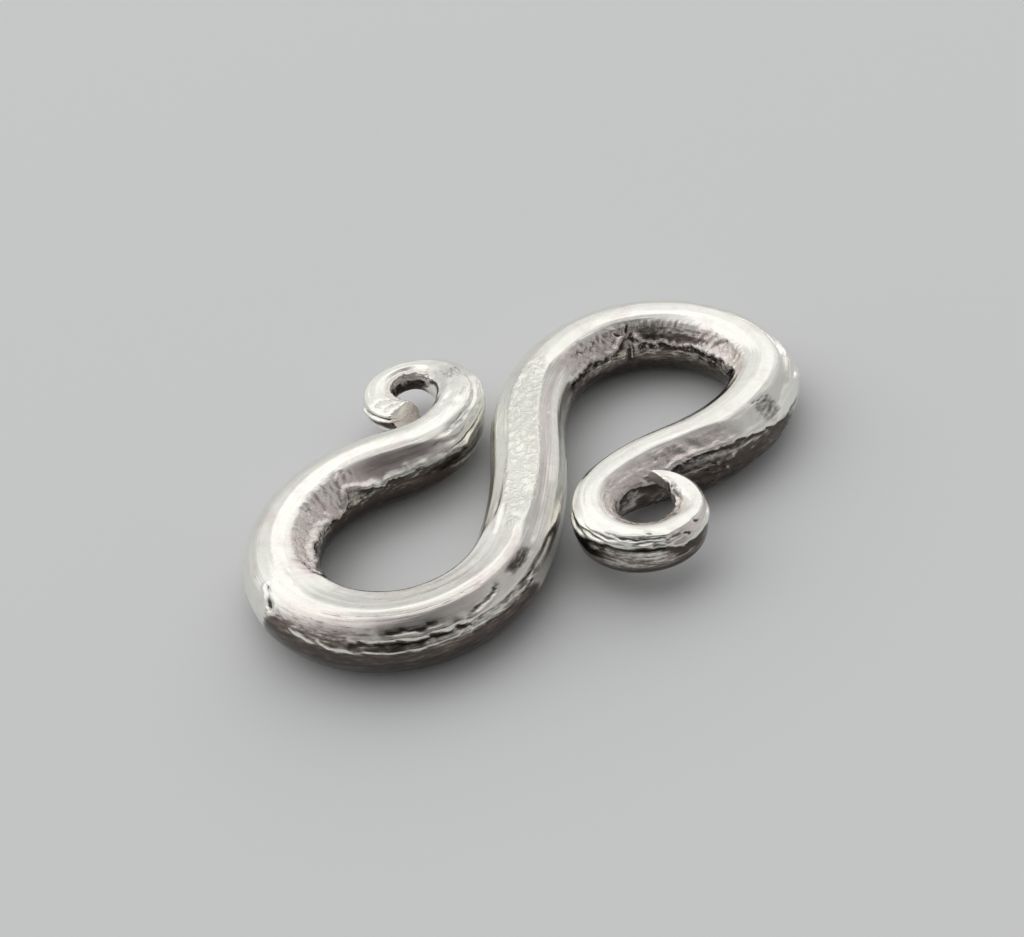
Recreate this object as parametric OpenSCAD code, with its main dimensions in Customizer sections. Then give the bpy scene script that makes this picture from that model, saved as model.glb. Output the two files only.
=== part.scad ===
// S-hook clasp, hand forged from one rod of silver.
// The rod is thickest at the middle bar, runs round a bow at each end of the S, is drawn down
// along each shank, and finishes in a small scrolled eye with a blunt cut tip.
// Millimetres. The clasp lies flat: +X along its length, +Z up, and the origin lies on the
// surface under it, below the middle of its box.
// Hook A is the one at -X, hook B the one at +X.

/* [Rod] */
// Diameter of the rod at the middle of the bar
bar_d = 3; // [2.6:0.05:3.1]
// Diameter of the rod round the bows
bow_d = 2.85; // [2.4:0.05:3]
// Height of the scrolls' section over its width
scroll_tall = 1.15; // [1:0.01:1.25]
// Height of a tip's section over its width
tip_tall = 0.75; // [0.6:0.01:1]
// Squareness of the scrolls' section, where 2 is round
scroll_square = 3; // [2:0.1:3.2]
// Length of rod over which one bend eases into the next
ease = 1.8; // [1:0.1:2.2]
// Heading of the middle bar toward hook B, from the clasp's long axis
bar_heading = 55; // [50:1:60]

/* [Hook A bow] */
// Bend radius of this half of the bar
a_bar_r = 16.5; // [14:0.5:19]
// Angle that this half of the bar turns
a_bar_turn = 20; // [17:1:23]
// Bend radius of the bow's crown
a_crown_r = 4.4; // [4.3:0.05:4.6]
// Angle that the crown turns
a_crown_turn = 129; // [126:1:131]
// Bend radius of the bow's nose
a_nose_r = 4.1; // [3.9:0.05:4.3]
// Angle that the nose turns
a_nose_turn = 48; // [45:1:50]
// Bend radius where the bow runs into the shank
a_heel_r = 5.3; // [5:0.1:5.6]
// Angle that the heel turns
a_heel_turn = 65; // [62:1:67]

/* [Hook A scroll] */
// Bend radius of the turn out of the shank
a_throat_r = 3; // [2.8:0.05:3.2]
// Angle that the throat turns back
a_throat_turn = 127; // [124:1:130]
// Bend radius of the eye
a_eye_r = 1.5; // [1.45:0.01:1.6]
// Angle that the eye turns
a_eye_turn = 200; // [190:1:206]
// Width of the rod at the throat
a_throat_d = 2.05; // [1.8:0.05:2.2]
// Width of the rod half way round the eye
a_eye_d = 0.95; // [0.8:0.05:1.1]
// Width of the cut tip
a_tip_d = 1.3; // [1:0.05:1.4]
// How much further the underside of the cut tip runs than its top
a_bevel = 0.5; // [0:0.05:0.6]
// Height of the scroll's centre above the bar's centre
a_lift = 0.15; // [0:0.05:0.3]

/* [Hook B bow] */
// Bend radius of this half of the bar
b_bar_r = 9; // [8:0.5:10]
// Angle that this half of the bar turns
b_bar_turn = 30; // [27:1:32]
// Bend radius of the bow's crown
b_crown_r = 4.7; // [4.6:0.05:4.9]
// Angle that the crown turns
b_crown_turn = 138; // [135:1:140]
// Bend radius of the bow's nose
b_nose_r = 2; // [1.8:0.05:2.2]
// Angle that the nose turns
b_nose_turn = 36; // [33:1:37]
// Bend radius where the bow runs into the shank
b_heel_r = 6.2; // [5.9:0.1:6.5]
// Angle that the heel turns
b_heel_turn = 54; // [51:1:55]

/* [Hook B scroll] */
// Bend radius of the turn out of the shank
b_throat_r = 6; // [5.6:0.1:6.4]
// Angle that the throat turns back
b_throat_turn = 34; // [32:1:36]
// Bend radius of the eye
b_eye_r = 1.8; // [1.75:0.01:1.9]
// Angle that the eye turns
b_eye_turn = 205; // [198:1:207]
// Bend radius of the tighter curl at the tip
b_curl_r = 1.2; // [1.15:0.01:1.25]
// Angle that the curl turns
b_curl_turn = 105; // [98:1:107]
// Width of the rod at the throat
b_throat_d = 1.7; // [1.5:0.05:1.8]
// Width of the rod half way round the eye
b_eye_d = 1.55; // [1.3:0.05:1.6]
// Width of the cut tip
b_tip_d = 0.65; // [0.55:0.05:0.7]
// How much further the underside of the cut tip runs than its top
b_bevel = 0.1; // [0:0.05:0.15]
// Height of the scroll's centre above the bar's centre
b_lift = 0.3; // [0:0.05:0.4]

/* [Hidden] */

// Flats round the section and rings along each half of the rod
sides = 20;
rings = 76;

// Places along each half, from the middle of the bar (0) to the tip (1)
bow_from = 0.18;
bow_to = 0.60;
throat_at = 0.78;
eye_at = 0.90;

// Bends of each hook outward from the middle of the bar, as [radius, turn]; + turns to the left
bends_a = [
    [a_bar_r, -a_bar_turn],
    [a_crown_r, -a_crown_turn],
    [a_nose_r, -a_nose_turn],
    [a_heel_r, -a_heel_turn],
    [a_throat_r, a_throat_turn],
    [a_eye_r, a_eye_turn]
];
bends_b = [
    [b_bar_r, -b_bar_turn],
    [b_crown_r, -b_crown_turn],
    [b_nose_r, -b_nose_turn],
    [b_heel_r, -b_heel_turn],
    [b_throat_r, b_throat_turn],
    [b_eye_r, b_eye_turn],
    [b_curl_r, b_curl_turn]
];

// Width of the rod at each place, as [place, width]
widths_a = [[0, bar_d], [bow_from, bow_d], [bow_to, bow_d],
            [throat_at, a_throat_d], [eye_at, a_eye_d], [1, a_tip_d]];
widths_b = [[0, bar_d], [bow_from, bow_d], [bow_to, bow_d],
            [throat_at, b_throat_d], [eye_at, b_eye_d], [1, b_tip_d]];

// Adds up the numbers of a list
function total(list, i = 0) = i < len(list) ? list[i] + total(list, i + 1) : 0;

// Goes from 0 to 1 without a corner as t goes from 0 to 1
function smooth(t) = let (c = min(max(t, 0), 1)) c * c * (3 - 2 * c);

// Length of rod in one bend, and the degrees that it turns in each millimetre
function bend_length(bend) = bend[0] * abs(bend[1]) * PI / 180;
function bend_rate(bend) = bend[1] / bend_length(bend);

// Distances from the middle of the bar at which the bends start and end; the bar starts straight
function bend_marks(bends) = [
    ease / 2,
    for (i = [1 : len(bends)]) total([for (k = [0 : i - 1]) bend_length(bends[k])])
];

// Length that has been bent t past a mark, when the bend comes in evenly over the ease
function eased(t) = t >= ease / 2 ? t : pow(max(t / ease + 0.5, 0), 2) * ease / 2;

// Heading of the rod s millimetres from the middle of the bar; the last bend runs to the tip
function heading(s, bends, marks, start) = start + total([
    for (i = [0 : len(bends) - 1])
        bend_rate(bends[i]) * (eased(s - marks[i]) - (i < len(bends) - 1 ? eased(s - marks[i + 1]) : 0))
]);

// Steps along one half of the rod, from the middle of the bar to the tip
function walk(bends, start) =
    let (marks = bend_marks(bends), step = marks[len(bends)] / rings)
    [for (i = 0, p = [0, 0];
          i <= rings;
          h = heading((i + 0.5) * step, bends, marks, start), p = p + step * [cos(h), sin(h)], i = i + 1)
        [p[0], p[1], heading(i * step, bends, marks, start)]];

// Width of the rod at place u
function width_at(u, widths) = widths[0][1] + total([
    for (i = [1 : len(widths) - 1])
        (widths[i][1] - widths[i - 1][1])
            * smooth((u - widths[i - 1][0]) / (widths[i][0] - widths[i - 1][0]))
]);

// How much of the scroll's section the rod has at place u, and how much of the tip's
function scroll_share(u) = smooth((u - bow_to) / (throat_at - bow_to));
function tip_share(u) = smooth((u - eye_at) / (1 - eye_at));
function tall_at(u) =
    1 + (scroll_tall - 1) * scroll_share(u) + (tip_tall - scroll_tall) * tip_share(u);

// A rounded square between a circle and a box, with half sizes a and b and squareness n
function power(x, n) = sign(x) * pow(abs(x), 2 / n);
function section(a, b, n) = [
    for (k = [0 : sides - 1])
        let (q = 360 * (k + 0.5) / sides) [a * power(cos(q), n), b * power(sin(q), n)]
];

// One ring of points across the rod: p is [x, y, heading], z the height of its centre, and lean
// how far its underside runs ahead of its centre
function ring(p, z, a, b, n, lean) = [
    for (q = section(a, b, n))
        let (ahead = -lean * q[1] / b)
        [p[0] - q[0] * sin(p[2]) + ahead * cos(p[2]), p[1] + q[0] * cos(p[2]) + ahead * sin(p[2]), z + q[1]]
];

// The rings of one half. The bar and bow rest on the surface, and the thinner scroll stays at
// about the height of the bar's centre, as it does when the rod is drawn down on all sides.
// The tip is flattened from below, so its top stays level with the eye's
function half_rings(bends, widths, lift, bevel, start) =
    let (path = walk(bends, start), eye_b = width_at(eye_at, widths) / 2 * tall_at(eye_at))
    [for (i = [0 : rings])
        let (
            u = i / rings,
            a = width_at(u, widths) / 2,
            b = a * tall_at(u),
            share = scroll_share(u),
            z = b * (1 - share) + (bar_d / 2 + lift) * share + (eye_b - b) * tip_share(u),
            n = 2 + (scroll_square - 2) * share
        )
        ring(path[i], z, a, b, n, i == rings ? bevel / 2 : 0)];

// The half toward hook A is walked from the middle outward, so it is joined on backward, with its
// points counted the other way round the section to match
function turned(points) = [for (k = [0 : sides - 1]) points[(sides + sides / 2 - 1 - k) % sides]];
rings_a = half_rings(bends_a, widths_a, a_lift, a_bevel, bar_heading + 180);
rings_b = half_rings(bends_b, widths_b, b_lift, b_bevel, bar_heading);
all_rings = [
    for (i = [rings : -1 : 1]) turned(rings_a[i]),
    for (i = [0 : rings]) rings_b[i]
];

// The sweep's points and faces, and the middle of its box
points = [for (r = all_rings) for (p = r) p];
last = len(all_rings) - 1;
faces = [
    [for (k = [0 : sides - 1]) k],
    for (i = [0 : last - 1]) for (k = [0 : sides - 1])
        let (j = (k + 1) % sides)
        [i * sides + k, (i + 1) * sides + k, (i + 1) * sides + j, i * sides + j],
    [for (k = [sides - 1 : -1 : 0]) last * sides + k]
];
xs = [for (p = points) p[0]];
ys = [for (p = points) p[1]];
zs = [for (p = points) p[2]];
middle = [(min(xs) + max(xs)) / 2, (min(ys) + max(ys)) / 2, min(zs)];

module s_hook() {
    color("silver")
        translate(-middle)
            polyhedron(points = points, faces = faces, convexity = 8);
}

s_hook();
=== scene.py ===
import itertools
import math

import bpy
import numpy as np
from mathutils import Matrix, Vector


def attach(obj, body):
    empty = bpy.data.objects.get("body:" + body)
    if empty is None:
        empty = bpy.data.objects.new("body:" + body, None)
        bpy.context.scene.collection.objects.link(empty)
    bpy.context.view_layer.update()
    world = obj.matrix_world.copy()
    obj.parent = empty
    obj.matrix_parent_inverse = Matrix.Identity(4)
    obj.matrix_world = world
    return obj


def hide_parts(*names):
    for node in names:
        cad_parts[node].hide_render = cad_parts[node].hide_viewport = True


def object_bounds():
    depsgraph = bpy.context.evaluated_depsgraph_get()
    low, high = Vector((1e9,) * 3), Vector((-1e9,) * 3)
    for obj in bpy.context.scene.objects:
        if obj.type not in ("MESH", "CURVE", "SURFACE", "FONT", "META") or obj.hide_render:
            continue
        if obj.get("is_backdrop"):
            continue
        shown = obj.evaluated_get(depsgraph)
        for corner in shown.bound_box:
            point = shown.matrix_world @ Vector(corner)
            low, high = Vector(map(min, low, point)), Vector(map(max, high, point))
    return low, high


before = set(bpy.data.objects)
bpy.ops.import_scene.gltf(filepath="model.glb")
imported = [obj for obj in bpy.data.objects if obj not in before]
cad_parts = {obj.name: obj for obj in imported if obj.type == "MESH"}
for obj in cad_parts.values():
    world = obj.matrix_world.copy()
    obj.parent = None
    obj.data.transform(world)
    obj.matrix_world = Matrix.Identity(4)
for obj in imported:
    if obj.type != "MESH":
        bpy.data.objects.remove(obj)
cad_low, cad_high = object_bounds()

# The forged rod
# The whole clasp is one length of sterling silver rod. It was hammered, drawn down at both ends,
# bent cold into a flat S and scrolled into an eye at each tip, and then polished by hand.

# Hook A is the one at -X, with the smaller eye, and hook B the one at +X. Lengths are in
# millimetres. Places along the rod run from the middle of the bar, negative toward hook A and
# positive toward hook B. Angles round its section start at the left side of someone walking toward
# hook B: 90 is the top, 180 the right side and 270 the underside.
MM = 0.001

# BEND_EASE is the length over which one bend runs into the next. TALL is a section's height over
# its width, and SQUARE how square it is, where 2 is round. FROM, TO and AT are shares of the way
# from the middle of the bar to a tip.
BAR_WIDTH = 3.0
BOW_WIDTH = 2.85
BEND_EASE = 1.8
BAR_HEADING = 55.0
SCROLL_TALL = 1.15
TIP_TALL = 0.75
SCROLL_SQUARE = 3.0
TIP_SQUARE = 4.5
BOW_FROM, BOW_TO, THROAT_AT, EYE_AT = 0.18, 0.60, 0.78, 0.90

# Rings of points along the rod, points round each, and steps in which the bends are added up
RINGS = 800
SIDES = 120
FINE_STEPS = 4001


def smooth(t):
    """Goes from 0 to 1 without a corner as t goes from 0 to 1."""
    t = np.clip(t, 0, 1)
    return t * t * (3 - 2 * t)


class Half:
    """Half of the rod, from the middle of the bar outward: bends are (radius, turn) pairs.

    throat, eye and tip are the widths there, and lift is how high the scroll's middle stands above
    the bar's. cut says how the tip was nipped off: how far its face lies past the end of the bends,
    how much further its bottom edge runs than its middle, and how much further its edge by the eye.
    """

    def __init__(self, bends, throat, eye, tip, lift, cut, start):
        self.bends = bends
        self.start = start
        self.lift = lift
        self.cut = cut
        self.eye_side = math.copysign(1, bends[-1][1])
        self.curl = bends[-1][0]
        self.widths = [(0, BAR_WIDTH), (BOW_FROM, BOW_WIDTH), (BOW_TO, BOW_WIDTH),
                       (THROAT_AT, throat), (EYE_AT, eye), (1, tip)]
        arcs = [radius * math.radians(abs(turn)) for radius, turn in bends]
        self.rates = [turn / arc for (_, turn), arc in zip(bends, arcs)]
        self.marks = [BEND_EASE / 2, *np.cumsum(arcs)]
        self.length = self.marks[-1]

    def bent(self, past):
        """Length that has been bent, past a mark, when a bend comes in evenly over its ease."""
        eased = np.maximum(past / BEND_EASE + 0.5, 0) ** 2 * BEND_EASE / 2
        return np.where(past >= BEND_EASE / 2, past, eased)

    def heading(self, s):
        """Heading of the rod in degrees; the last bend runs on to the tip."""
        turned = self.start + 0 * s
        for i, rate in enumerate(self.rates):
            turned = turned + rate * self.bent(s - self.marks[i])
            if i < len(self.rates) - 1:
                turned = turned - rate * self.bent(s - self.marks[i + 1])
        return turned

    def rings(self, s):
        """Place, heading, half width, half height, centre height and squareness along the rod."""
        fine = np.linspace(0, self.length + 1, FINE_STEPS)
        middle = np.radians(self.heading((fine[1:] + fine[:-1]) / 2))
        step = fine[1]
        x = np.concatenate([[0], np.cumsum(np.cos(middle)) * step])
        y = np.concatenate([[0], np.cumsum(np.sin(middle)) * step])
        u = s / self.length
        a, b = self.half_sizes(u)
        share = smooth((u - BOW_TO) / (THROAT_AT - BOW_TO))
        tip = smooth((u - EYE_AT) / (1 - EYE_AT))
        level = b * (1 - share) + (BAR_WIDTH / 2 + self.lift) * share
        level = level + (self.half_sizes(EYE_AT)[1] - b) * tip
        return np.column_stack([
            np.interp(s, fine, x), np.interp(s, fine, y), self.heading(s), a, b, level,
            2 + (SCROLL_SQUARE - 2) * share + (TIP_SQUARE - SCROLL_SQUARE) * tip])

    def half_sizes(self, u):
        """Half width and half height of the section at a share of the half's length."""
        width = self.widths[0][1]
        for (u0, w0), (u1, w1) in itertools.pairwise(self.widths):
            width = width + (w1 - w0) * smooth((u - u0) / (u1 - u0))
        share = smooth((u - BOW_TO) / (THROAT_AT - BOW_TO))
        tip = smooth((u - EYE_AT) / (1 - EYE_AT))
        tall = 1 + (SCROLL_TALL - 1) * share + (TIP_TALL - SCROLL_TALL) * tip
        return width / 2, width / 2 * tall


hook_a = Half([(16.5, -20), (4.4, -129), (4.1, -48), (5.3, -65), (3.0, 127), (1.5, 200)],
              throat=2.05, eye=0.95, tip=1.3, lift=0.15, cut=(0.30, 0.275, 0.20),
              start=BAR_HEADING + 180)
hook_b = Half([(9.0, -30), (4.7, -138), (2.0, -36), (6.2, -54), (6.0, 34), (1.8, 205), (1.2, 105)],
              throat=1.7, eye=1.55, tip=0.65, lift=0.3, cut=(-0.14, 0.05, -0.25),
              start=BAR_HEADING)


def between(value, low, high, soft):
    """1 from low to high and 0 outside, fading over soft at both ends."""
    return smooth((value - low) / soft + 0.5) * smooth((high - value) / soft + 0.5)


# Rings stand closest where the metal is most worked, inside the bows and along the scrolls
fine = np.linspace(-hook_a.length, hook_b.length, FINE_STEPS)
need = 0.85 + 0.75 * (between(fine, -26.5, -14.5, 2) + between(fine, 4.5, 17, 2))
need = need + 0.35 * (between(fine, -40, -27, 2) + between(fine, 21, 40, 2))
need = np.cumsum(need)
along = np.interp(np.linspace(need[0], need[-1], RINGS), need, fine)

# Each tip is closed by rings that round its edge over and draw in to the middle of the cut face
CUT_INSET = np.array([0.98, 0.93, 0.78, 0.56, 0.33, 0.12])
CUT_AHEAD = np.array([0.025, 0.045, 0.05, 0.055, 0.055, 0.055])
cuts_each = len(CUT_INSET)
along = np.concatenate([along[:1].repeat(cuts_each), along, along[-1:].repeat(cuts_each)])
inset = np.concatenate([CUT_INSET[::-1], np.ones(RINGS), CUT_INSET])[:, None]
ahead = np.concatenate([-CUT_AHEAD[::-1], np.zeros(RINGS), CUT_AHEAD])[:, None]
broken = inset < 0.95


def rings_at(places):
    """Rings of the whole rod, all headed toward hook B."""
    ring_a = hook_a.rings(np.maximum(-places, 0))
    ring_b = hook_b.rings(np.maximum(places, 0))
    ring_a[:, 2] += 180
    return np.where(places[:, None] < 0, ring_a, ring_b)


round_section = np.arange(SIDES) * 360 / SIDES
s, angle = np.meshgrid(along, round_section, indexing="ij")


def signed_power(x, n):
    """Turns a round section into a squarer one, where n is its squareness and 2 is round."""
    return np.sign(x) * np.abs(x) ** (2 / n)


half_w, half_h, height, square = [c[:, None] for c in rings_at(along).T[3:]]
cosine, sine = np.cos(np.radians(angle)), np.sin(np.radians(angle))
across = half_w * inset * signed_power(cosine, square)
up = half_h * inset * signed_power(sine, square)
# The way that the metal faces, round the section
face_across = np.sign(cosine) * np.abs(across / half_w / inset) ** (square - 1) / half_w
face_up = np.sign(sine) * np.abs(up / half_h / inset) ** (square - 1) / half_h
face_length = np.hypot(face_across, face_up)
face_across, face_up = face_across / face_length, face_up / face_length

# Places on the rod as if it were still straight, so that what follows the metal has no seam
rod_x, rod_y, rod_z = s, across, up


def lumps(x, y, z, seed):
    """Smooth noise from -1 to 1, with lumps about one unit across."""
    cells = [np.floor(v).astype(np.int64) for v in (x, y, z)]
    parts = [v - cell for v, cell in zip((x, y, z), cells)]
    fades = [t * t * t * (t * (t * 6 - 15) + 10) for t in parts]
    total = 0
    # Each corner of a cell has a slope of its own, scrambled out of its place and the seed
    for corner in itertools.product((0, 1), repeat=3):
        key = (cells[0] + corner[0]) * 73856093 ^ (cells[1] + corner[1]) * 19349663
        key = key ^ (cells[2] + corner[2]) * 83492791 ^ seed * 2654435761
        key = (key & 0xFFFFFFFF) * 1274126177 & 0xFFFFFFFF
        key = (key ^ key >> 15) * 2246822519 & 0xFFFFFFFF
        key = key ^ key >> 13
        weight, slope = 1, 0
        for axis in range(3):
            grade = (key >> 10 * axis & 1023) / 511.5 - 1
            slope = slope + grade * (parts[axis] - corner[axis])
            weight = weight * (fades[axis] if corner[axis] else 1 - fades[axis])
        total = total + weight * slope
    return np.clip(total * 1.4, -1, 1)


def uneven(length, width, seed):
    """The same noise over the straight rod, its lumps so long along the rod and so wide across."""
    return lumps(rod_x / length, rod_y / width, rod_z / width, seed)


def away(centre):
    """Angle from a line round the section, in degrees, at most 180 either way."""
    return (angle - centre + 180) % 360 - 180


def patch(s_low, s_high, angle_low, angle_high, soft=0.6, soft_angle=14):
    """1 over a patch of the rod's skin, given as lengths along it and angles round it."""
    centre, reach = (angle_low + angle_high) / 2, (angle_high - angle_low) / 2
    return between(s, s_low, s_high, soft) * between(away(centre), -reach, reach, soft_angle)


def chord(centre, depth):
    """Level of a flat that is cut across the round, with its middle at an angle."""
    return half_w * np.radians(away(centre)) ** 2 / 2 - depth


# Long hammered flats all round the rod, which wander and fade along it
rng = np.random.default_rng(3)
FLATS = 15
flats = []
for k in range(FLATS):
    line = 360 * (k + 0.5) / FLATS + rng.uniform(-8, 8) + 8 * lumps(s / 5.0, k + 0.5, 0.5, 11)
    flats.append(chord(line, 0.016 + 0.022 * lumps(s / 3.2, k + 0.5, 0.5, 12)))

# The planished strip on top of the bar, cut 0.15 mm into the round
strip_depth = 0.150 * smooth((s + 6.2) / 3.2) * smooth((5.4 - s) / 3.0)
strip_level = chord(89 + 3 * lumps(s / 2.5, 0.5, 0.5, 13), strip_depth)
strip = smooth((0.01 - strip_level) / 0.02) * smooth(strip_depth / 0.03)
flats.append(strip_level)

# Single flats, as the angle of their middle, depth, start, end and fade
for line, depth, start, end, fade in (
        # Inside the bows: a long one down hook A's shank, a rough one round each bow, a deep one
        # beside the kink at hook B's crown, and one under the chatter marks past its nose
        (42, 0.105, -26.0, -21.9, 1.2), (44, 0.085, -22.2, -15.5, 1.6), (144, 0.090, 4.6, 16.5, 2.0),
        (147, 0.135, 9.7, 13.2, 0.9), (47, 0.050, 18.6, 20.4, 0.8),
        # A broad one along the inner top of hook A's bow, and narrow ones down both sides of the bar
        (72, 0.20, -15.2, -5.0, 2.6), (54, 0.060, -5.4, 5.2, 2.0), (124, 0.085, -5.6, 5.0, 2.0),
        # Round the eyes, where the metal was dressed with the narrow end of the hammer
        (54, 0.165, 21.4, 33.6, 2.0), (10, 0.060, -31.0, -27.0, 2.0), (34, 0.045, -31.0, -26.6, 1.4),
        (58, 0.050, -29.2, -26.6, 1.4), (118, 0.050, -36.0, -30.4, 2.0),
        (134, 0.060, -32.8, -30.6, 0.8), (142, 0.070, 31.2, 33.4, 0.9)):
    flats.append(chord(line, depth * between(s, start, end, fade)))
# The skin lies at the deepest flat of each place, and the corners between flats are rounded over
# by about 1 / SHARPNESS. Levels above the round can't matter, so they are cut off at ABOVE_ROUND.
SHARPNESS = 600
ABOVE_ROUND = 0.2
relief = sum(np.exp(-SHARPNESS * np.minimum(level, ABOVE_ROUND)) for level in flats)
relief = -np.log(relief) / SHARPNESS
relief = np.minimum(relief, 0)

# Slow waviness from the hammer, and fine lines along the rod from drawing it down
relief = relief + 0.012 * uneven(1.6, 1.4, 21)
relief = relief + 0.018 * uneven(6.0, 0.38, 24)
relief = relief + 0.009 * uneven(3.5, 0.18, 25)
relief = relief + 0.006 * uneven(0.9, 0.28, 26)

# Pebbled planishing marks on the strip
pebbles = np.abs(lumps(rod_x / 0.36, rod_y / 0.24, rod_z / 0.3, 22))
pebbles = pebbles + 0.5 * np.abs(lumps(rod_x / 0.20, rod_y / 0.15, rod_z / 0.2, 23))
relief = relief + strip * 0.045 * (pebbles - 0.3)

# The rough places: inside both bows, but less on the flat beside the kink, in both eyes, and on
# the cut faces
inside_a = patch(-22.6, -15.0, 5, 66, soft=1.2, soft_angle=16)
inside_b = patch(4.8, 16.5, 122, 172, soft=1.6, soft_angle=14)
panel_b = patch(9.9, 12.8, 128, 158, soft=0.7, soft_angle=8)
eye_a = patch(-37.5, -31.5, 120, 240, soft=1.5, soft_angle=40)
eye_b = patch(21.0, 34.5, -90, 72, soft=2.0, soft_angle=14)
rough = inside_a + inside_b * (1 - 0.8 * panel_b) + 0.45 * eye_a + 0.7 * eye_b + 0.5 * broken
rough = np.clip(rough, 0, 1)

# Bending wrinkles there: crumpled ridges that lean across the rod, broken up by smaller ones, 0.2
# to 0.5 mm apart and about 0.1 mm high
lean_x = rod_x + 0.6 * np.radians(angle) * half_w
warp = 0.25 * uneven(0.7, 0.5, 31)
folds = np.abs(lumps((lean_x + warp) / 0.30, rod_y / 0.8, rod_z / 0.8, 32))
crumple = np.abs(lumps((rod_x + warp) / 0.45, (rod_y + warp) / 0.40, (rod_z - warp) / 0.40, 33))
small = np.abs(lumps((lean_x + 1.5 * warp) / 0.17, rod_y / 0.22, rod_z / 0.22, 35))
strength = np.clip(0.8 + 0.6 * uneven(1.5, 1.1, 34), 0.25, 1.2)
wrinkle = 0.11 * (0.3 - folds) + 0.12 * (0.3 - crumple) + 0.045 * (small - 0.3)
wrinkle = rough * strength * wrinkle
relief = relief + wrinkle
# dark is the share of oxide and painted shade on the skin, and polished how much it is rubbed
# bright: to begin with, painted shade lies in the deep of the wrinkles and their tops are rubbed
dark = rough * smooth((-wrinkle - 0.045) / 0.05)
polished = 0.8 * rough * smooth((wrinkle - 0.018) / 0.025)


def gap_from(places, jag, seed=41):
    """Distance over the skin from a line of (along, angle) places, and the same with a sign.

    The sign is + on the right of someone who walks along the line on the skin. jag is how far the
    line strays from its places.
    """
    wander_s = jag * (uneven(0.5, 0.4, seed) + 0.5 * uneven(0.2, 0.2, seed + 1))
    wander_a = jag * (uneven(0.45, 0.5, seed + 2) + 0.5 * uneven(0.18, 0.2, seed + 3))
    nearest, signed = np.full(s.shape, 9.0), np.zeros(s.shape)
    for (s1, a1), (s2, a2) in itertools.pairwise(places):
        px, py = s + wander_s - s1, half_w * np.radians(away(a1)) + wander_a
        dx, dy = s2 - s1, half_w * math.radians(a2 - a1)
        t = np.clip((px * dx + py * dy) / (dx * dx + dy * dy), 0, 1)
        gap = np.hypot(px - t * dx, py - t * dy)
        closer = gap < nearest
        nearest = np.where(closer, gap, nearest)
        signed = np.where(closer, np.sign(dx * py - dy * px) * gap, signed)
    return nearest, signed


def crease(places, width, depth, lip=0.0, jag=0.1, oxide_and_shade=1.0):
    """A groove with a lip along the right of it, darkened inside with oxide and painted shade."""
    global relief, dark
    nearest, signed = gap_from(places, jag)
    groove = np.exp(-(nearest / width) ** 2)
    relief = relief - depth * groove
    relief = relief + lip * np.exp(-((signed - 1.7 * width) / width) ** 2) * (nearest < 5 * width)
    dark = np.maximum(dark, oxide_and_shade * smooth(1.5 * groove - 0.4))


def ridge(places, width, height, jag=0.1, rubbed=1.0):
    """A line of metal that stands up, with its top rubbed bright."""
    global relief, polished
    top = np.exp(-(gap_from(places, jag)[0] / width) ** 2)
    relief = relief + height * top
    polished = np.maximum(polished, rubbed * top)


def ledge(places, width, height, drop, reach, side, jag=0.15, seed=51, undercut_shade=1.0):
    """Metal pushed over an edge: a burr along the line, and an undercut beyond it on one side.

    The undercut is on the right where side is 1 and on the left where it is -1. It is as deep as
    drop and as wide as reach, and the last argument is how much painted shade darkens it, most
    close under the burr.
    """
    global relief, dark, polished
    nearest, signed = gap_from(places, jag, seed)
    beyond = signed * side
    ends = between(s, places[0][0], places[-1][0], 0.7)
    burr = np.exp(-(np.minimum(beyond + 0.5 * width, 0) / (1.5 * width)) ** 2)
    burr = burr * smooth(0.5 - beyond / width) * (nearest < 6 * width)
    under = smooth(beyond / width + 0.5) * (1 - smooth(beyond / reach)) * (beyond < reach)
    relief = relief + ends * (height * burr - drop * under)
    polished = np.maximum(polished, ends * burr)
    dark = np.maximum(dark, undercut_shade * ends * under * (0.5 + 0.4 * smooth(1 - beyond / (4 * width))))


def darken(share, *place, **softness):
    """Darkens a patch by a share."""
    global dark
    dark = np.maximum(dark, share * patch(*place, **softness))


def rub(share, *place, **softness):
    """Rubs a patch bright by a share."""
    global polished
    polished = np.maximum(polished, share * patch(*place, **softness))


# The burr that the hammer pushed up along the inside of hook A's shank and bow, which is torn
ledge([(-27.4, 0), (-26.3, 12), (-25.5, 17), (-24.5, 13), (-23.5, 15), (-22.7, 25), (-22.0, 33),
       (-21.75, 20), (-21.4, 10), (-20.9, 7), (-20.3, 15), (-19.5, 20), (-18.6, 23), (-17.6, 26),
       (-16.2, 32)], width=0.10, height=0.18, drop=0.08, reach=0.9, side=-1, jag=0.12)
# The same round the inside of hook B's bow, broken at the kink
ledge([(4.3, 158), (5.5, 164), (6.5, 162), (7.6, 165), (8.3, 163), (8.7, 153), (9.0, 144)],
      width=0.085, height=0.12, drop=0.08, reach=0.9, side=1, jag=0.12)
ledge([(9.6, 146), (9.9, 160), (10.6, 162), (11.8, 163), (13.2, 162), (14.6, 161), (16.0, 157),
       (17.0, 148)], width=0.08, height=0.13, drop=0.08, reach=0.9, side=1, jag=0.12)

# The shank of hook B has the same burr, and so has the outer side of its scroll
ledge([(17.6, 6), (19.0, 10), (20.0, 20), (21.0, 31), (22.3, 39), (23.4, 34), (24.2, 15),
       (25.0, 8), (25.9, 14), (27.0, 2)], width=0.08, height=0.05, drop=0.06, reach=0.7, side=-1,
      jag=0.12, seed=55)
ledge([(27.8, 172), (28.4, 176), (29.2, 160), (30.0, 153), (31.0, 153), (31.6, 170), (33.2, 172)],
      width=0.08, height=0.05, drop=0.06, reach=0.6, side=1, jag=0.10, seed=57)

# A dent where hook A's crown runs into its nose, with a raised rim past it
crease([(-15.75, 124), (-15.4, 132), (-15.25, 143)], width=0.085, depth=0.06, lip=0.03, jag=0.10,
       oxide_and_shade=0.8)
ridge([(-15.7, 128), (-15.15, 130), (-14.95, 142), (-15.2, 152)], width=0.08, height=0.06, jag=0.08)
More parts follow.
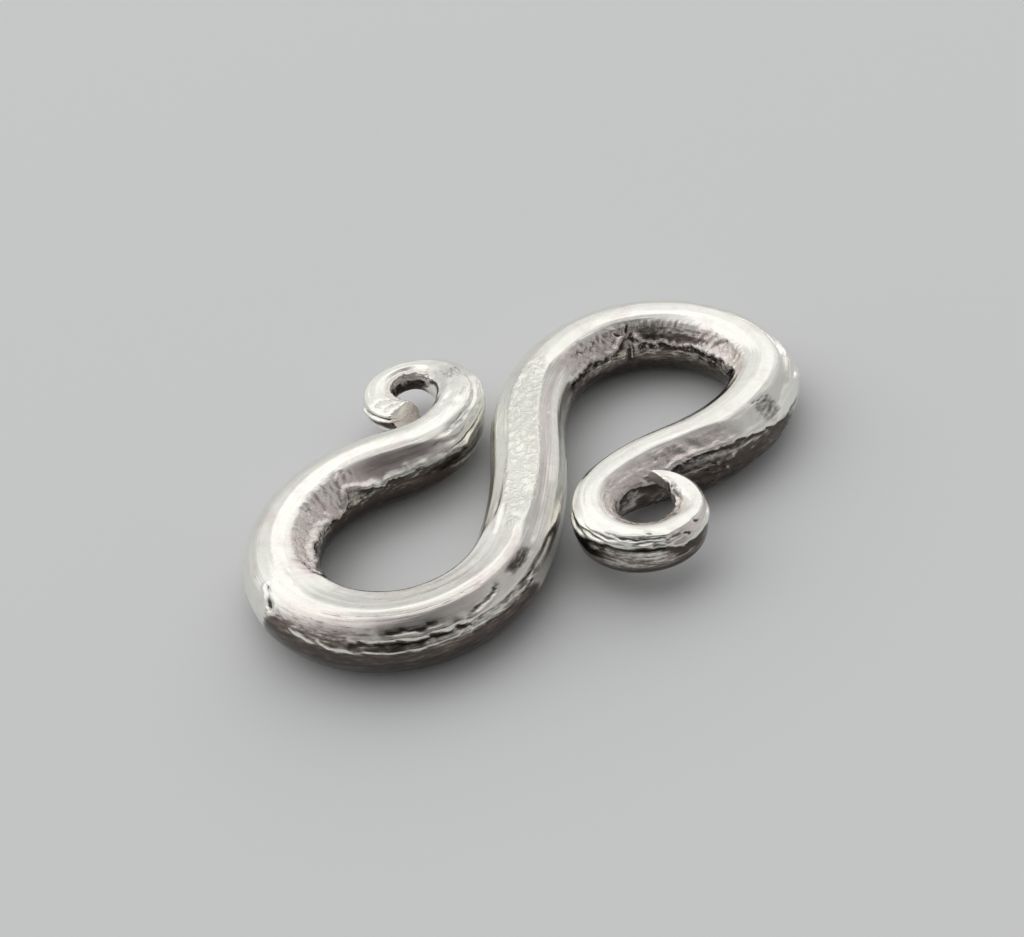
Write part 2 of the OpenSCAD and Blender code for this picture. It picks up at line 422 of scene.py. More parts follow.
# A lap on the flank of hook A's bow: a tongue of metal beaten down over it, with cracks and folds
# round its end
ledge([(-9.2, 149), (-8.0, 151), (-6.6, 149), (-5.4, 151), (-4.4, 158), (-2.8, 168)], width=0.08,
      height=0.045, drop=0.05, reach=0.35, side=1, jag=0.07, seed=59)
crease([(-9.0, 158), (-8.0, 160), (-6.9, 157)], width=0.05, depth=0.03, lip=0.02, jag=0.08,
       oxide_and_shade=0.5)
crease([(-9.1, 172), (-8.0, 170), (-6.6, 163)], width=0.07, depth=0.05, lip=-0.03, jag=0.10,
       oxide_and_shade=0.8)
crease([(-9.45, 151), (-9.3, 160)], width=0.13, depth=0.09, lip=0.03, jag=0.12)
crease([(-9.2, 151), (-9.05, 145), (-8.8, 140), (-8.35, 137), (-8.05, 134), (-7.9, 128)],
       width=0.085, depth=0.06, lip=0.06, jag=0.0, oxide_and_shade=0.75)
ridge([(-9.3, 140), (-9.3, 148), (-8.6, 151), (-7.4, 149)], width=0.08, height=0.06, jag=0.05)
ridge([(-14.2, 156), (-12.6, 162), (-10.8, 164), (-9.3, 160)], width=0.07, height=0.04, jag=0.12)
ridge([(-12.4, 143), (-10.9, 145), (-9.4, 146)], width=0.06, height=0.035, jag=0.12)
# A shallow hollow that stayed brown
crease([(-7.0, 127), (-6.2, 131)], width=0.22, depth=0.03, lip=0.02, jag=0.20, oxide_and_shade=0)
darken(0.62, -7.3, -6.1, 119, 137, soft=0.5, soft_angle=9)
# Scars along the flank, a long scratch above them, and a nick in the other side of the bar
# The two scars are dents, darkened inside with painted shade for the dark that they mirror
crease([(-12.3, 150), (-11.2, 151), (-9.8, 155)], width=0.13, depth=0.06, lip=0.05, jag=0.20,
       oxide_and_shade=0.8)
crease([(-11.3, 136), (-10.0, 138)], width=0.13, depth=0.05, lip=0.04, jag=0.20, oxide_and_shade=0.7)
crease([(-13.4, 113), (-11.0, 111), (-8.2, 114)], width=0.05, depth=0.02, lip=0.015, jag=0.06,
       oxide_and_shade=0.4)
crease([(-4.5, 57), (-4.1, 55)], width=0.07, depth=0.03, lip=0.01, jag=0.04, oxide_and_shade=0.6)
# Corners that the hammer raised along both sides of the bar
rub(1.3, -5.6, 4.8, 0, 31, soft=1.2, soft_angle=7)
rub(0.8, -5.4, -0.5, 26, 62, soft=1.2, soft_angle=8)
ridge([(5.5, 150), (3.0, 152), (0.0, 150), (-2.6, 143)], width=0.24, height=0.045, jag=0.05)
ridge([(-1.0, 166), (-3.2, 162), (-6.0, 158)], width=0.22, height=0.05, jag=0.05)
ridge([(-5.6, 64), (-2.0, 65), (1.5, 66), (4.4, 72)], width=0.09, height=0.026, jag=0.05, rubbed=0)
ridge([(-5.0, 112), (-2.0, 113), (1.5, 113), (4.4, 108)], width=0.08, height=0.022, jag=0.05,
      rubbed=0)
rub(1, -6.2, 5.4, 136, 160, soft=1.2, soft_angle=7)
rub(1, -6.4, -1.4, 140, 172, soft=1.0, soft_angle=7)
# The kink at hook B's crown, with a splinter of metal in it, and squiggles beside it
crease([(9.3, 140), (9.3, 165), (9.2, 186)], width=0.24, depth=0.12, jag=0.14, oxide_and_shade=0.9)
ridge([(9.22, 150), (9.3, 168), (9.25, 184)], width=0.05, height=0.10, jag=0.03)
crease([(8.6, 133), (9.0, 142), (9.2, 124)], width=0.07, depth=0.05, lip=0.02, jag=0.16)
crease([(6.0, 138), (6.5, 133)], width=0.08, depth=0.03, lip=0.02, jag=0.25, oxide_and_shade=0.6)
crease([(6.7, 141), (7.2, 135)], width=0.09, depth=0.04, lip=0.02, jag=0.25, oxide_and_shade=0.6)
# A pushed-up fold where hook B's nose closes, and brown chatter marks after it
ridge([(16.7, 12), (17.8, 38), (16.9, 50)], width=0.13, height=0.07, jag=0.05)
crease([(16.9, 25), (17.4, 38)], width=0.12, depth=0.03, jag=0.05, oxide_and_shade=0)
for k in range(10):
    start, reach = rng.uniform(18.9, 19.2), rng.uniform(0.5, 0.9)
    crease([(start, 22 + 4.5 * k), (start + reach, 22 + 4.5 * k)], width=0.05, depth=0.03, jag=0.12,
           oxide_and_shade=0.5)
darken(0.42, 18.9, 19.9, 24, 60, soft=0.4, soft_angle=10)

# Painted shade under the burrs of both hooks
darken(0.58, 20.2, 24.2, -30, 24, soft=1.0)
darken(0.58, -26.8, -16.4, -60, 7, soft=1.0)
# Torn streaks along hook B's shank, below its burr
for k in range(3):
    crease([(18.4 + 0.3 * k, -6 - 13 * k), (20.2, 0 - 13 * k), (22.6 + 0.3 * k, 12 - 13 * k)],
           width=0.06, depth=0.05, lip=0.05, jag=0.12, oxide_and_shade=0.8)
# Laps along the scrolls, where the thinned metal folded over itself as it was drawn down
for k, (rise, shift) in enumerate([(-12, 0.3), (-24, 0.9), (-36, 1.5)]):
    ledge([(28.0 + shift, 158 + rise), (29.3 + shift, 151 + rise), (30.4, 156 + rise),
           (31.6, 160 + rise)], width=0.07, height=0.055, drop=0.06, reach=0.28, side=1, jag=0.14,
          seed=61 + 4 * k)
crease([(28.3, 158), (29.4, 164)], width=0.08, depth=0.05, lip=0.03, jag=0.18, oxide_and_shade=0.8)
crease([(31.8, 136), (31.9, 149)], width=0.06, depth=0.04, lip=0.02, jag=0.10)
crease([(32.3, 124), (32.4, 131)], width=0.10, depth=0.05, lip=0.02, jag=0.08, oxide_and_shade=0.8)
for k, low_edge in enumerate((0, 16, 32)):
    ledge([(-31.0 + 0.4 * k, low_edge + 8), (-28.6, low_edge), (-27.0, low_edge),
           (-25.6 - 0.4 * k, low_edge + 8)], width=0.11, height=0.09, drop=0.05, reach=0.30,
          side=-1, jag=0.05, seed=73 + 4 * k, undercut_shade=0.55)
# Small dents, scratches and brown spots from the narrow end of the hammer, over hook A's scroll
crease([(-28.0, 57), (-27.2, 61), (-26.7, 50)], width=0.08, depth=0.015, lip=0.01, jag=0.06,
       oxide_and_shade=0.4)
darken(0.42, -28.1, -26.9, 42, 60, soft=0.4, soft_angle=9)
darken(0.33, -30.9, -29.9, 78, 112, soft=0.5, soft_angle=9)
darken(0.26, -29.2, -28.6, 60, 90, soft=0.4, soft_angle=9)
relief = relief + 0.022 * uneven(0.55, 0.42, 27) * patch(-32.0, -26.6, 44, 128, soft=1.0)
crease([(-30.0, 74), (-29.2, 62), (-28.2, 50)], width=0.07, depth=0.014, lip=0.012, jag=0.10,
       oxide_and_shade=0.25)
crease([(-29.6, 96), (-28.0, 100)], width=0.07, depth=0.012, lip=0.008, jag=0.10, oxide_and_shade=0.2)
# The inner walls are fuller in hook A's eye and close to hook B's tip. A torn edge runs along the
# wall of hook A's eye, with a bright ridge and then painted shade below it
relief = relief + 0.09 * patch(-36.6, -31.0, 140, 220, soft=1.4, soft_angle=30)
relief = relief + 0.15 * patch(33.9, 35.0, -50, 50, soft=0.9, soft_angle=40)
ledge([(-36.4, 160), (-35.0, 150), (-33.6, 148), (-32.4, 148), (-31.2, 152)], width=0.07,
      height=0.04, drop=0.05, reach=0.5, side=1, jag=0.12, seed=81, undercut_shade=0.2)
ridge([(-36.4, 158), (-35.0, 164), (-33.6, 167), (-32.6, 163), (-31.4, 152)], width=0.08,
      height=0.06, jag=0.10)
darken(0.85, -36.4, -32.0, 173, 250, soft=0.8, soft_angle=8)
# A thin fin down the outer side of hook A's tip, and hammer marks across its top
ledge([(-38.3, 4), (-37.0, 6), (-35.6, 0)], width=0.05, height=0.15, drop=0.04, reach=0.3, side=-1,
      jag=0.04, seed=85)
crease([(-37.9, 20), (-36.9, 21), (-36.0, 14)], width=0.07, depth=0.07, jag=0.05, oxide_and_shade=0.8)
for start in (-37.5, -37.1, -36.7, -36.2):
    crease([(start - 0.08, 72), (start + 0.1, 90), (start - 0.08, 106)], width=0.07, depth=0.014,
           jag=0.05, oxide_and_shade=0.3)

# The slope into hook B's eye, the wrinkles above hook A's burr and the upper wall of its eye are
# rubbed unevenly, and the flat on its shank evenly
mottle = smooth(2.5 * uneven(0.5, 0.35, 98))
slope_b = np.maximum(patch(21.5, 25.5, 42, 84), patch(25.0, 33.5, 16, 84, soft=1.2))
polished = np.maximum(polished, (0.4 + 0.55 * mottle) * slope_b)
rub(0.15 + 0.4 * mottle, -22.2, -15.8, 40, 72, soft=1.0)
rub(0.35 + 0.5 * mottle, -36.8, -30.0, 118, 160, soft=1.0)
rub(0.6, -26.6, -22.0, 22, 60, soft=0.6, soft_angle=8)

# Painted shade, brown and then black, lies on the underside and higher up on some flanks, standing
# in for the dark ground that those faces mirror. edge is how far up it goes, as the lift of the
# face there: -1 is the underside's, 0 a side's and 1 the top's. It is full where the face's lift is
# lower than that by the fade below. On some patches the edge is changed, given as the change, the
# patch and its softness.
SHADE_FADE = 0.60
edge = -0.05
for change, start, end, angle_low, angle_high, soft, soft_angle in (
        # Inside hook A's shank, and under its bow
        (0.44, -26.8, -17.2, -70, 30, 1.6, 30), (0.68, -15.5, -6.6, 110, 240, 0.8, 30),
        (0.25, -15.4, -11.0, 110, 240, 0.5, 30),
        # Inside hook B's bow and most of all beyond its kink, beside its shank, and round its scroll
        (0.42, -1.5, 16.8, 120, 240, 2.0, 30), (0.65, 9.6, 13.8, 126, 168, 0.6, 14),
        (0.80, 18.5, 25.5, -80, 18, 1.5, 20), (0.42, 27.8, 34.0, 140, 240, 1.0, 30),
        # The left side of the bar, the inside of both eyes and the slope into hook B's get less of
        # it
        (-0.35, -5.5, 5.5, -50, 50, 1.0, 20), (-0.40, 32.8, 37.0, -70, 70, 0.8, 20),
        (-0.45, -37.5, -30.0, 120, 230, 1.0, 30), (-0.25, 23.0, 32.0, 0, 80, 1.5, 20)):
    edge = edge + change * patch(start, end, angle_low, angle_high, soft, soft_angle)
edge = edge + 0.08 * uneven(2.0, 0.8, 95)
edge = edge + 0.06 * uneven(0.6, 0.25, 96)
edge = edge + 0.14 * uneven(4.0, 0.28, 97)
# Whatever is rubbed bright loses most of its painted shade and its oxide
kept = 1 - 0.9 * polished
shaded = np.clip((edge - face_up) / SHADE_FADE, 0, 1) * kept
dark = dark * kept

# Fire stain, the pink of copper in the silver, shows most where the hammer worked it longest, and
# a painted reflection of warm surroundings adds to the same pink: in the rough places, on the flats
# inside the shanks, and on the flanks of the bar and hook A's bow
fire_stain_and_painted_reflection = rough + 0.4 * slope_b + patch(-26.6, -21.8, 24, 62, soft=0.6, soft_angle=8)
fire_stain_and_painted_reflection = fire_stain_and_painted_reflection + 0.5 * eye_a
fire_stain_and_painted_reflection = fire_stain_and_painted_reflection + 0.7 * patch(-5.0, 6.5, 116, 134, soft=2.0, soft_angle=8)
fire_stain_and_painted_reflection = fire_stain_and_painted_reflection + 0.6 * patch(-15.0, -6.0, 104, 146, soft=1.5, soft_angle=12)
fire_stain_and_painted_reflection = fire_stain_and_painted_reflection + 0.9 * patch(31.4, 33.8, 122, 154, soft=0.8, soft_angle=12)
fire_stain_and_painted_reflection = fire_stain_and_painted_reflection * (1 - 0.35 * polished)
fire_stain_and_painted_reflection = fire_stain_and_painted_reflection + 1.2 * patch(-26.4, -22.4, 27, 56, soft=0.4, soft_angle=6)

# The cut faces are one clean break each, without the marks of the skin round them
dark = np.where(broken, 0, dark)
shaded = np.where(broken, 0, shaded)
polished = np.where(broken, 0.9, polished)
relief = relief * smooth((inset - 0.3) / 0.7)

# A broken face isn't quite even
facing = 0.012 * uneven(0.3, 0.35, 91)
facing = facing + 0.004 * uneven(0.12, 0.12, 92)
ahead = ahead + facing * np.sign(ahead) * (1 - inset ** 8)

across = across + relief * inset * face_across
up = up + relief * inset * face_up
# Each point of the skin is set off from the rod's middle line at its own distance along it. The cut
# slants the last CUT_FADE of each half.
line_s = np.linspace(-hook_a.length - 1, hook_b.length + 1, 2 * FINE_STEPS - 1)
line_x, line_y, line_heading = rings_at(line_s).T[:3]
reached = s + ahead
CUT_FADE = 1.4
for hook, way in ((hook_a, -1), (hook_b, 1)):
    toward_eye = way * hook.eye_side * rod_y
    reach, slant, skew = hook.cut
    longer = reach - slant * rod_z / half_h + skew * toward_eye / half_w
    # The same length of cut is a longer way round on the inside of the curl
    longer = longer * hook.curl / (hook.curl - toward_eye)
    reached = reached + way * longer * smooth((way * s - hook.length + CUT_FADE) / CUT_FADE)
turn = np.radians(np.interp(reached, line_s, line_heading))
points = np.stack([
    np.interp(reached, line_s, line_x) - across * np.sin(turn),
    np.interp(reached, line_s, line_y) + across * np.cos(turn),
    height + up], axis=2)
low, high = points.min(axis=(0, 1)), points.max(axis=(0, 1))
middle = (low + high) / 2
cad_middle = (cad_low + cad_high) / 2
shift = np.array([cad_middle.x / MM - middle[0], cad_middle.y / MM - middle[1], -low[2]])
points = (points + shift) * MM
bar_middle = Vector(shift) * MM

faces = []
for i in range(len(along) - 1):
    for j in range(SIDES):
        k = (j + 1) % SIDES
        faces.append((i * SIDES + j, i * SIDES + k, (i + 1) * SIDES + k, (i + 1) * SIDES + j))
faces.append(tuple(range(SIDES))[::-1])
faces.append(tuple((len(along) - 1) * SIDES + j for j in range(SIDES)))
mesh = bpy.data.meshes.new("forged_rod")
mesh.from_pydata(points.reshape(-1, 3).tolist(), [], faces)
mesh.polygons.foreach_set("use_smooth", [True] * len(mesh.polygons))
mesh.update()
rod = bpy.data.objects.new("forged_rod", mesh)
bpy.context.scene.collection.objects.link(rod)


def linear(hex_colour):
    """An sRGB hex colour as linear numbers."""
    parts = [int(hex_colour[i:i + 2], 16) / 255 for i in (0, 2, 4)]
    return [c / 12.92 if c <= 0.04045 else ((c + 0.055) / 1.055) ** 2.4 for c in parts] + [1]


def node(tree, kind, settings=None, **links):
    """Adds a node with its settings; a link is an output, and any other value is set.

    An input is named, with _ for a space, or numbered from i0 on.
    """
    made = tree.nodes.new(kind)
    for name, value in (settings or {}).items():
        setattr(made, name, value)
    for name, value in links.items():
        key = int(name[1:]) if name[1:].isdigit() else name.replace("_", " ")
        if isinstance(value, bpy.types.NodeSocket):
            tree.links.new(value, made.inputs[key])
        else:
            made.inputs[key].default_value = value
    return made


# The skin carries its place on the straight rod and the shares worked out above
layer = mesh.attributes.new("rod_mm", "FLOAT_VECTOR", "POINT")
layer.data.foreach_set("vector", np.stack([rod_x, rod_y, rod_z], axis=2).astype(np.float32).ravel())
for name, values in (("dark", dark), ("rough", rough), ("strip", strip), ("shaded", shaded),
                     ("worn", polished), ("stain_and_reflection", fire_stain_and_painted_reflection)):
    layer = mesh.attributes.new(name, "FLOAT", "POINT")
    layer.data.foreach_set("value", np.clip(values, 0, 1).astype(np.float32).ravel())

# Sterling silver, forged and then polished by hand: a nearly white mirror on its upper faces,
# broken up by hammer marks, with satin edges, pink that is part stain and part painted reflection,
# brown and then black painted shade on its lower faces, and oxide and painted shade in creases
silver = bpy.data.materials.new("sterling_silver_forged_and_polished")
silver.use_nodes = True
silver.node_tree.nodes.clear()
tree = silver.node_tree
rod_mm = node(tree, "ShaderNodeAttribute", {"attribute_name": "rod_mm"}).outputs["Vector"]
dark_share, rough_share, strip_share, shaded_share, worn_share, stain_and_reflection_share = (
    node(tree, "ShaderNodeAttribute", {"attribute_name": name}).outputs["Fac"]
    for name in ("dark", "rough", "strip", "shaded", "worn", "stain_and_reflection"))

# Polishing scratches run along the rod. They are drawn 2 mm long and 0.08 mm apart, coarser than
# real ones, so that they show; they stretch the highlights into long lines.
SCRATCH_LENGTH, SCRATCH_GAP, SCRATCH_DEPTH = 2.0, 1 / 12, 0.010 * MM
drawn = node(tree, "ShaderNodeMapping", Vector=rod_mm,
             Scale=(1 / SCRATCH_LENGTH, 1 / SCRATCH_GAP, 1 / SCRATCH_GAP)).outputs["Vector"]
scratches = node(tree, "ShaderNodeTexNoise", Vector=drawn, Scale=1.0, Detail=3.0, Roughness=0.55)
# Grit of the hammer face, 0.12 mm and less, stronger where the metal was never polished
GRIT_SIZE, GRIT_DEPTH = 0.125, 0.03 * MM
grit = node(tree, "ShaderNodeTexNoise", Vector=rod_mm, Scale=1 / GRIT_SIZE, Detail=3.0,
            Roughness=0.6)
grit_share = node(tree, "ShaderNodeMapRange", Value=rough_share, From_Min=0.0, From_Max=1.0,
                  To_Min=0.10, To_Max=1.0)
# Lines like worm tracks, 0.4 mm apart, are what the planishing left between its pebbles. They run
# where the noise is within WORM_SPREAD of its middle value.
WORM_GAP, WORM_DEPTH, WORM_SPREAD = 1 / 2.6, 0.010 * MM, 0.13
worms = node(tree, "ShaderNodeTexNoise", Vector=rod_mm, Scale=1 / WORM_GAP, Detail=3.0,
             Roughness=0.55, Distortion=0.5)
off_middle = node(tree, "ShaderNodeMath", {"operation": "SUBTRACT"},
                  i0=worms.outputs["Fac"], i1=0.5)
from_line = node(tree, "ShaderNodeMath", {"operation": "ABSOLUTE"}, i0=off_middle.outputs["Value"])
worm_line = node(tree, "ShaderNodeMapRange", {"interpolation_type": "SMOOTHSTEP"},
                 Value=from_line.outputs["Value"], From_Min=0.0, From_Max=WORM_SPREAD,
                 To_Min=1.0, To_Max=0.0)
worm_share = node(tree, "ShaderNodeMath", {"operation": "MULTIPLY"},
                  i0=worm_line.outputs["Result"], i1=strip_share)
scratched = node(tree, "ShaderNodeBump", Height=scratches.outputs["Fac"], Distance=SCRATCH_DEPTH,
                 Strength=1.0)
gritty = node(tree, "ShaderNodeBump", Height=grit.outputs["Fac"], Distance=GRIT_DEPTH,
              Strength=grit_share.outputs["Result"], Normal=scratched.outputs["Normal"])
wormy = node(tree, "ShaderNodeBump", {"invert": True}, Height=worm_share.outputs["Value"],
             Distance=WORM_DEPTH, Strength=1.0, Normal=gritty.outputs["Normal"])

# Oxide and painted shade end in torn borders, drawn out along the rod, with tears 0.4 mm long and
# 0.1 wide
TEAR_LENGTH, TEAR_WIDTH = 0.4, 1 / 9
tear_space = node(tree, "ShaderNodeMapping", Vector=rod_mm,
                  Scale=(1 / TEAR_LENGTH, 1 / TEAR_WIDTH, 1 / TEAR_WIDTH)).outputs["Vector"]
tear = node(tree, "ShaderNodeTexNoise", Vector=tear_space, Scale=1.0, Detail=4.0, Roughness=0.65)
tear_more = node(tree, "ShaderNodeMath", {"operation": "MULTIPLY_ADD"},
                 i0=tear.outputs["Fac"], i1=1.6, i2=-0.8)
torn_dark = node(tree, "ShaderNodeMath", {"operation": "MULTIPLY_ADD"},
                 i0=tear_more.outputs["Value"], i1=0.7, i2=dark_share)
oxide_and_shade_share = node(tree, "ShaderNodeMapRange", {"interpolation_type": "SMOOTHSTEP"},
                   Value=torn_dark.outputs["Value"], From_Min=0.12, From_Max=0.75,
                   To_Min=0.0, To_Max=1.0)
# The painted shade on the lower faces has a torn border: light where it begins, heavy where full
torn_shade = node(tree, "ShaderNodeMath", {"operation": "MULTIPLY_ADD"},
                  i0=tear_more.outputs["Value"], i1=0.9, i2=shaded_share)
light_painted_shade = node(tree, "ShaderNodeMapRange", {"interpolation_type": "SMOOTHSTEP"},
                    Value=torn_shade.outputs["Value"], From_Min=0.24, From_Max=0.72,
                    To_Min=0.0, To_Max=1.0)
heavy_painted_shade = node(tree, "ShaderNodeMapRange", {"interpolation_type": "SMOOTHSTEP"},
                    Value=torn_shade.outputs["Value"], From_Min=0.50, From_Max=1.10,
                    To_Min=0.0, To_Max=1.0)

# Polished silver is nearly white. Fire stain and a painted warm reflection leave pinkish clouds and
# a little green-grey, about 1 mm across, painted shade browns it and then blackens it on the lower
# faces, and oxide and painted shade fill the creases.
CLOUD_SIZE = 1 / 0.9
clouds = node(tree, "ShaderNodeTexNoise", Vector=rod_mm, Scale=1 / CLOUD_SIZE, Detail=4.0,
              Roughness=0.65)
pink_clouds = node(tree, "ShaderNodeMapRange", Value=clouds.outputs["Fac"], From_Min=0.50,
                   From_Max=0.76, To_Min=0.0, To_Max=0.6)
pink = node(tree, "ShaderNodeMath", {"operation": "MULTIPLY_ADD", "use_clamp": True},
            i0=stain_and_reflection_share, i1=0.7, i2=pink_clouds.outputs["Result"])
green_clouds = node(tree, "ShaderNodeMapRange", Value=clouds.outputs["Fac"], From_Min=0.50,
                    From_Max=0.28, To_Min=0.0, To_Max=0.6)
greened = node(tree, "ShaderNodeMix", {"data_type": "RGBA"}, i0=green_clouds.outputs["Result"],
               i6=linear("FAF9F1"), i7=linear("EBEDE2"))
pink_tinted = node(tree, "ShaderNodeMix", {"data_type": "RGBA"}, i0=pink.outputs["Value"],
               i6=greened.outputs[2], i7=linear("E0D2CE"))
# The worm lines are darkened a little as painted shade in their grooves, and the strip is a little
# greyer overall
worm_painted_shade = node(tree, "ShaderNodeMath", {"operation": "MULTIPLY"},
                 i0=worm_share.outputs["Value"], i1=0.30)
dim_strip = node(tree, "ShaderNodeMath", {"operation": "MULTIPLY_ADD", "use_clamp": True},
                 i0=strip_share, i1=0.12, i2=worm_painted_shade.outputs["Value"])
planished = node(tree, "ShaderNodeMix", {"data_type": "RGBA"}, i0=dim_strip.outputs["Value"],
                 i6=pink_tinted.outputs[2], i7=linear("B9B8AC"))
# Painted shade browns the metal and then blackens it
shade_browned = node(tree, "ShaderNodeMix", {"data_type": "RGBA"}, i0=light_painted_shade.outputs["Result"],
               i6=planished.outputs[2], i7=linear("93877F"))
shade_blackened = node(tree, "ShaderNodeMix", {"data_type": "RGBA"}, i0=heavy_painted_shade.outputs["Result"],
                 i6=shade_browned.outputs[2], i7=linear("58524E"))
# The colour of the oxide and painted shade in creases, under burrs and in the wrinkles
oxide_and_shade = node(tree, "ShaderNodeMix", {"data_type": "RGBA"}, i0=tear.outputs["Fac"],
             i6=linear("1E1A18"), i7=linear("6A605A"))
colour = node(tree, "ShaderNodeMix", {"data_type": "RGBA"}, i0=oxide_and_shade_share.outputs["Result"],
              i6=shade_blackened.outputs[2], i7=oxide_and_shade.outputs[2])

# How rough each finish is: polish is crossed by long thin scratches, the wrinkles and the
# planished strip are a little duller, and rubbed edges are a satin that catches all the light
ROUGH_DULL, STRIP_DULL, WORN_DULL = 0.10, 0.07, 0.26
shine = node(tree, "ShaderNodeMapRange", Value=scratches.outputs["Fac"], From_Min=0.3,
             From_Max=0.7, To_Min=0.06, To_Max=0.11).outputs["Result"]
for share, dullness in ((rough_share, ROUGH_DULL), (strip_share, STRIP_DULL),
                        (worn_share, WORN_DULL)):
    shine = node(tree, "ShaderNodeMath", {"operation": "MULTIPLY_ADD", "use_clamp": True},
                 i0=share, i1=dullness, i2=shine).outputs["Value"]
shader = node(tree, "ShaderNodeBsdfPrincipled", Base_Color=colour.outputs[2], Metallic=1.0,
              Roughness=shine, Normal=wormy.outputs["Normal"])
node(tree, "ShaderNodeOutputMaterial", Surface=shader.outputs["BSDF"])
mesh.materials.append(silver)
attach(rod, "root")
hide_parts("s_hook")

# Camera
# It looks down on the clasp along the bar, a little rolled, from a hand's breadth away. AIM is how
# far to the right of the bar's middle it looks, and how far beyond it.
LOOK_HEADING, LOOK_DOWN, ROLL = 59.9, 39.67, -8.82
STAND_OFF = 60.45 * MM
AIM_RIGHT, AIM_FORWARD = -0.70 * MM, 1.16 * MM
LENS_MM, SENSOR_MM = 52.73, 36
NEAREST_SEEN = 1 * MM
turn, down, roll = (math.radians(v) for v in (LOOK_HEADING, LOOK_DOWN, ROLL))
level = Vector((math.cos(turn), math.sin(turn), 0))
right = Vector((math.sin(turn), -math.cos(turn), 0))
look = level * math.cos(down) - Vector((0, 0, math.sin(down)))
eye = bar_middle + right * AIM_RIGHT + level * AIM_FORWARD - look * STAND_OFF
above = right.cross(look)
side = right * math.cos(roll) + above * math.sin(roll)
above = side.cross(look)
camera_data = bpy.data.cameras.new("camera")
camera_data.lens = LENS_MM
camera_data.sensor_width = SENSOR_MM
camera_data.clip_start = NEAREST_SEEN
camera = bpy.data.objects.new("camera", camera_data)
bpy.context.scene.collection.objects.link(camera)
camera.matrix_world = Matrix((
    (side.x, above.x, -look.x, eye.x),
    (side.y, above.y, -look.y, eye.y),
    (side.z, above.z, -look.z, eye.z),
    (0, 0, 0, 1)))
bpy.context.scene.camera = camera

# Floor
# A large round sheet of pale grey board that the clasp lies on, matt, so that it mirrors nothing.
FLOOR_RADIUS = 0.8
FLOOR_CORNERS = 96
floor_angles = [2 * math.pi * k / FLOOR_CORNERS for k in range(FLOOR_CORNERS)]
floor_mesh = bpy.data.meshes.new("floor")
floor_mesh.from_pydata(
    [(FLOOR_RADIUS * math.cos(a), FLOOR_RADIUS * math.sin(a), 0) for a in floor_angles],
    [], [tuple(range(FLOOR_CORNERS))])
floor = bpy.data.objects.new("floor", floor_mesh)
bpy.context.scene.collection.objects.link(floor)
# Paper board, smooth and uncoated: an even pale ground with no gloss
board = bpy.data.materials.new("pale_grey_board")
board.use_nodes = True
board.node_tree.nodes.clear()
tree = board.node_tree
shader = node(tree, "ShaderNodeBsdfPrincipled", Base_Color=linear("F5F6F6"), Roughness=0.9)
node(tree, "ShaderNodeOutputMaterial", Surface=shader.outputs["BSDF"])
floor_mesh.materials.append(board)
floor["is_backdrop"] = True


# Lamps
# A large softbox stands ahead and to the left, and a low narrow strip to the right gives the sides
# of the rod a thin line of light.
def direction(bearing, height):
    """Way to something bearing degrees to the right of straight ahead and height degrees up."""
    b, h = math.radians(bearing), math.radians(height)
    return (level * math.cos(b) + right * math.sin(b)) * math.cos(h) + Vector((0, 0, math.sin(h)))


def softbox(name, bearing, height, distance, width, depth, power):
    """A soft lamp aimed at the clasp, in metres and watts."""
    data = bpy.data.lights.new(name, "AREA")
    data.shape = "RECTANGLE"
    data.size, data.size_y = width, depth
    data.energy = power
    lamp = bpy.data.objects.new(name, data)
    bpy.context.scene.collection.objects.link(lamp)
    way = direction(bearing, height)
    lamp.location = way * distance
    lamp.rotation_euler = way.to_track_quat("Z", "Y").to_euler()
    lamp.visible_camera = False


softbox("main_softbox", bearing=-28, height=55, distance=0.30, width=0.26, depth=0.17, power=0.036)
softbox("low_strip", bearing=40, height=5, distance=0.30, width=0.22, depth=0.012, power=0.016)

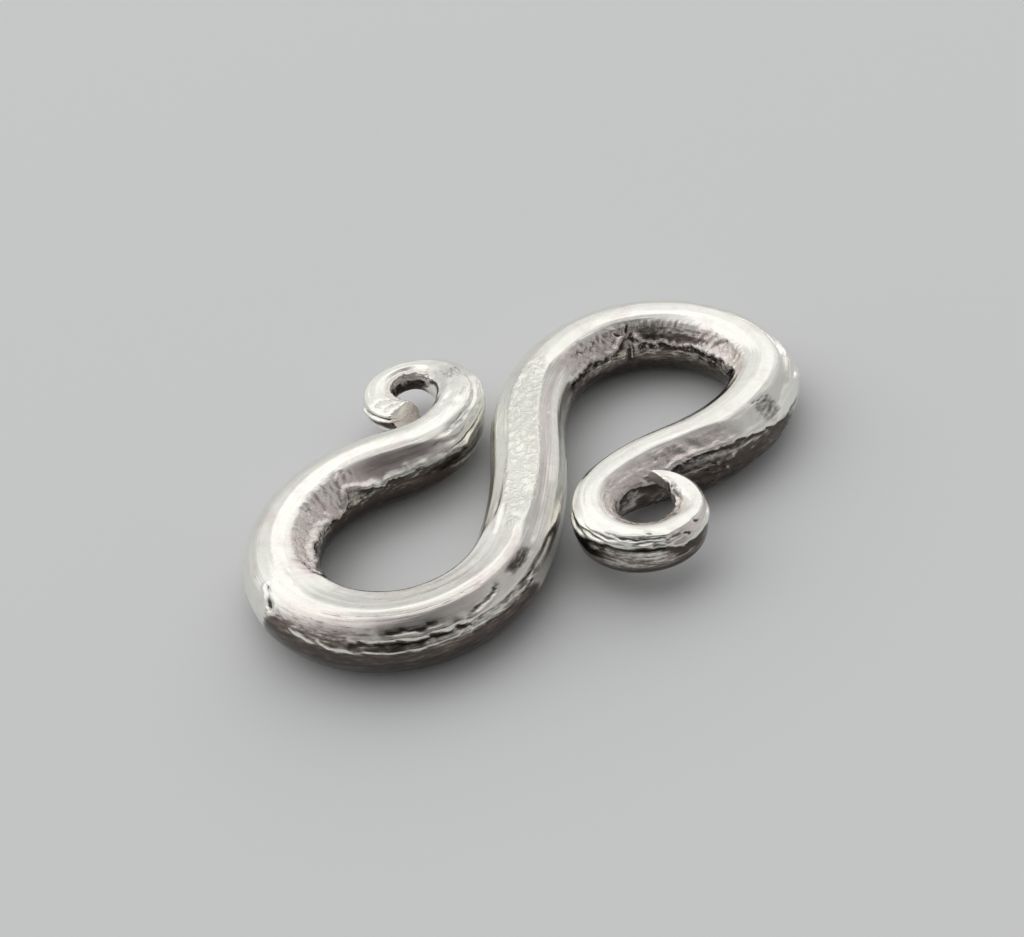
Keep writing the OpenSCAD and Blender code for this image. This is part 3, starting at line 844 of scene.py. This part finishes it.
# Room
# What the polished metal mirrors: a dim room with four soft bright parts, the brightest ahead and
# to the left like a window, and a plain grey wall round the foot of it, dark behind the camera.
world = bpy.data.worlds.new("studio")
bpy.context.scene.world = world
world.use_nodes = True
world.node_tree.nodes.clear()
tree = world.node_tree
place = node(tree, "ShaderNodeTexCoord").outputs["Generated"]
rise = node(tree, "ShaderNodeSeparateXYZ", Vector=place).outputs["Z"]
forward = node(tree, "ShaderNodeVectorMath", {"operation": "DOT_PRODUCT"}, i0=place,
               i1=tuple(level)).outputs["Value"]


def glow(bearing, height, inner, outer, strength):
    """A soft bright part of the room, full within inner degrees of its middle and gone at outer."""
    toward = node(tree, "ShaderNodeVectorMath", {"operation": "DOT_PRODUCT"}, i0=place,
                  i1=tuple(direction(bearing, height)))
    return node(tree, "ShaderNodeMapRange", {"interpolation_type": "SMOOTHSTEP"},
                Value=toward.outputs["Value"], From_Min=math.cos(math.radians(outer)),
                From_Max=math.cos(math.radians(inner)), To_Min=0.0,
                To_Max=strength).outputs["Result"]


room = 0.05
for part in (glow(bearing=-25, height=38, inner=32, outer=72, strength=0.74),
             glow(bearing=75, height=20, inner=20, outer=75, strength=0.40),
             glow(bearing=-105, height=25, inner=15, outer=60, strength=0.38),
             glow(bearing=180, height=62, inner=5, outer=42, strength=0.12)):
    room = node(tree, "ShaderNodeMath", {"operation": "ADD"}, i0=part, i1=room).outputs["Value"]
WALL_LIGHT = 0.62
wall_height = node(tree, "ShaderNodeMapRange", {"interpolation_type": "SMOOTHSTEP"},
                   Value=rise, From_Min=0.18, From_Max=0.36, To_Min=1.0, To_Max=0.0)
wall_ahead = node(tree, "ShaderNodeMapRange", {"interpolation_type": "SMOOTHSTEP"},
                  Value=forward, From_Min=-0.9, From_Max=-0.2, To_Min=0.12, To_Max=1.0)
wall = node(tree, "ShaderNodeMath", {"operation": "MULTIPLY"},
            i0=wall_height.outputs["Result"], i1=wall_ahead.outputs["Result"])
light = node(tree, "ShaderNodeMix", {"data_type": "FLOAT"},
             i0=wall.outputs["Value"], i2=room, i3=WALL_LIGHT)
shader = node(tree, "ShaderNodeBackground", Color=(1, 1, 1, 1), Strength=light.outputs["Result"])
node(tree, "ShaderNodeOutputWorld", Surface=shader.outputs["Background"])
bpy.context.scene.view_settings.view_transform = "Standard"

low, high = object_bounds()
